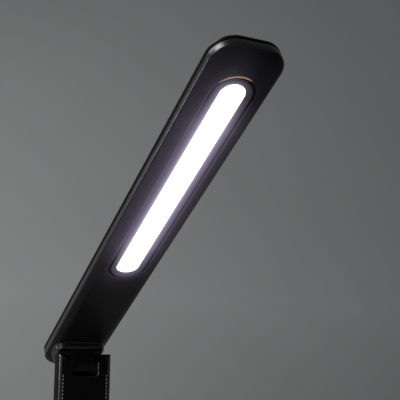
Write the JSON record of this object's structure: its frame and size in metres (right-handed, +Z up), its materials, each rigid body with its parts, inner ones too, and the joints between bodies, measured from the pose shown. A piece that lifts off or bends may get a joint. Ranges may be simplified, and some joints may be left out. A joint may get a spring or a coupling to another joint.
{
  "type": "folding led desk lamp",
  "caption": "Folding desk lamp: flat LED head on a leather-covered stem with friction hinges and a weighted base.",
  "frame": {"origin": "centre of the face that the base stands on", "axes": "+X along the hinge pins, across the lamp; the head leans towards -Y; +Z up"},
  "size_m": [0.118, 0.2829, 0.5151],
  "materials": {
    "black_shell": "fine matte black moulding",
    "black_yoke": "satin black moulding",
    "knuckle": "satin black paint",
    "diffuser": "frosted white, lit from behind",
    "bezel": "satin dark grey",
    "copper_trim": "copper-toned plating",
    "white_frame": "matte white",
    "board_white": "white solder mask",
    "led_chip": "yellow phosphor",
    "aluminium": "plain",
    "steel": "zinc plated",
    "leather": "black grained leather with stitching",
    "cable": "grey flat cable",
    "friction_fibre": "brown fibre",
    "rubber_pad": "matte black rubber",
    "ballast_steel": "plain sheet steel",
    "touch_gloss": "glossy black",
    "board_green": "green solder mask"
  },
  "bodies": {
    "base": {"base_shell": "black_shell", "base_bottom_plate": "black_shell", "base_pad": "rubber_pad", "ballast_plate": "ballast_steel", "touch_panel": "touch_gloss", "control_board": "board_green", "control_board_screws": "steel", "power_inlet": "steel", "inlet_board": "board_green", "base_knuckle": "knuckle", "base_knuckle_screws": "steel", "base_screws": "steel"},
    "stem": {"stem_leather": "leather", "stem_core": "aluminium", "upper_yoke": "black_yoke", "lower_yoke": "black_yoke", "stem_cable": "cable", "upper_hinge_pin": "steel", "lower_hinge_pin": "steel", "upper_hinge_nut": "steel", "lower_hinge_nut": "steel", "upper_friction_discs": "friction_fibre", "lower_friction_discs": "friction_fibre", "upper_spring_washers": "steel", "lower_spring_washers": "steel"},
    "head": {"head_bottom_shell": "black_shell", "head_top_cover": "black_shell", "diffuser": "diffuser", "diffuser_bezel": "bezel", "bezel_trim": "copper_trim", "reflector_frame": "white_frame", "led_board": "board_white", "led_chips": "led_chip", "heat_spreader": "aluminium", "board_screws": "steel", "head_knuckle": "knuckle", "knuckle_screws": "steel"}
  },
  "joints": [
    {"name": "stem_fold", "type": "hinge", "parent": "base", "child": "stem", "pos_m": [0, 0.058, 0.044], "axis": [1, 0, 0], "range_deg": [-10, 90]},
    {"name": "head_fold", "type": "hinge", "parent": "stem", "child": "head", "pos_m": [0, 0.058, 0.356], "axis": [1, 0, 0], "range_deg": [-61.7, 118.3]}
  ]
}
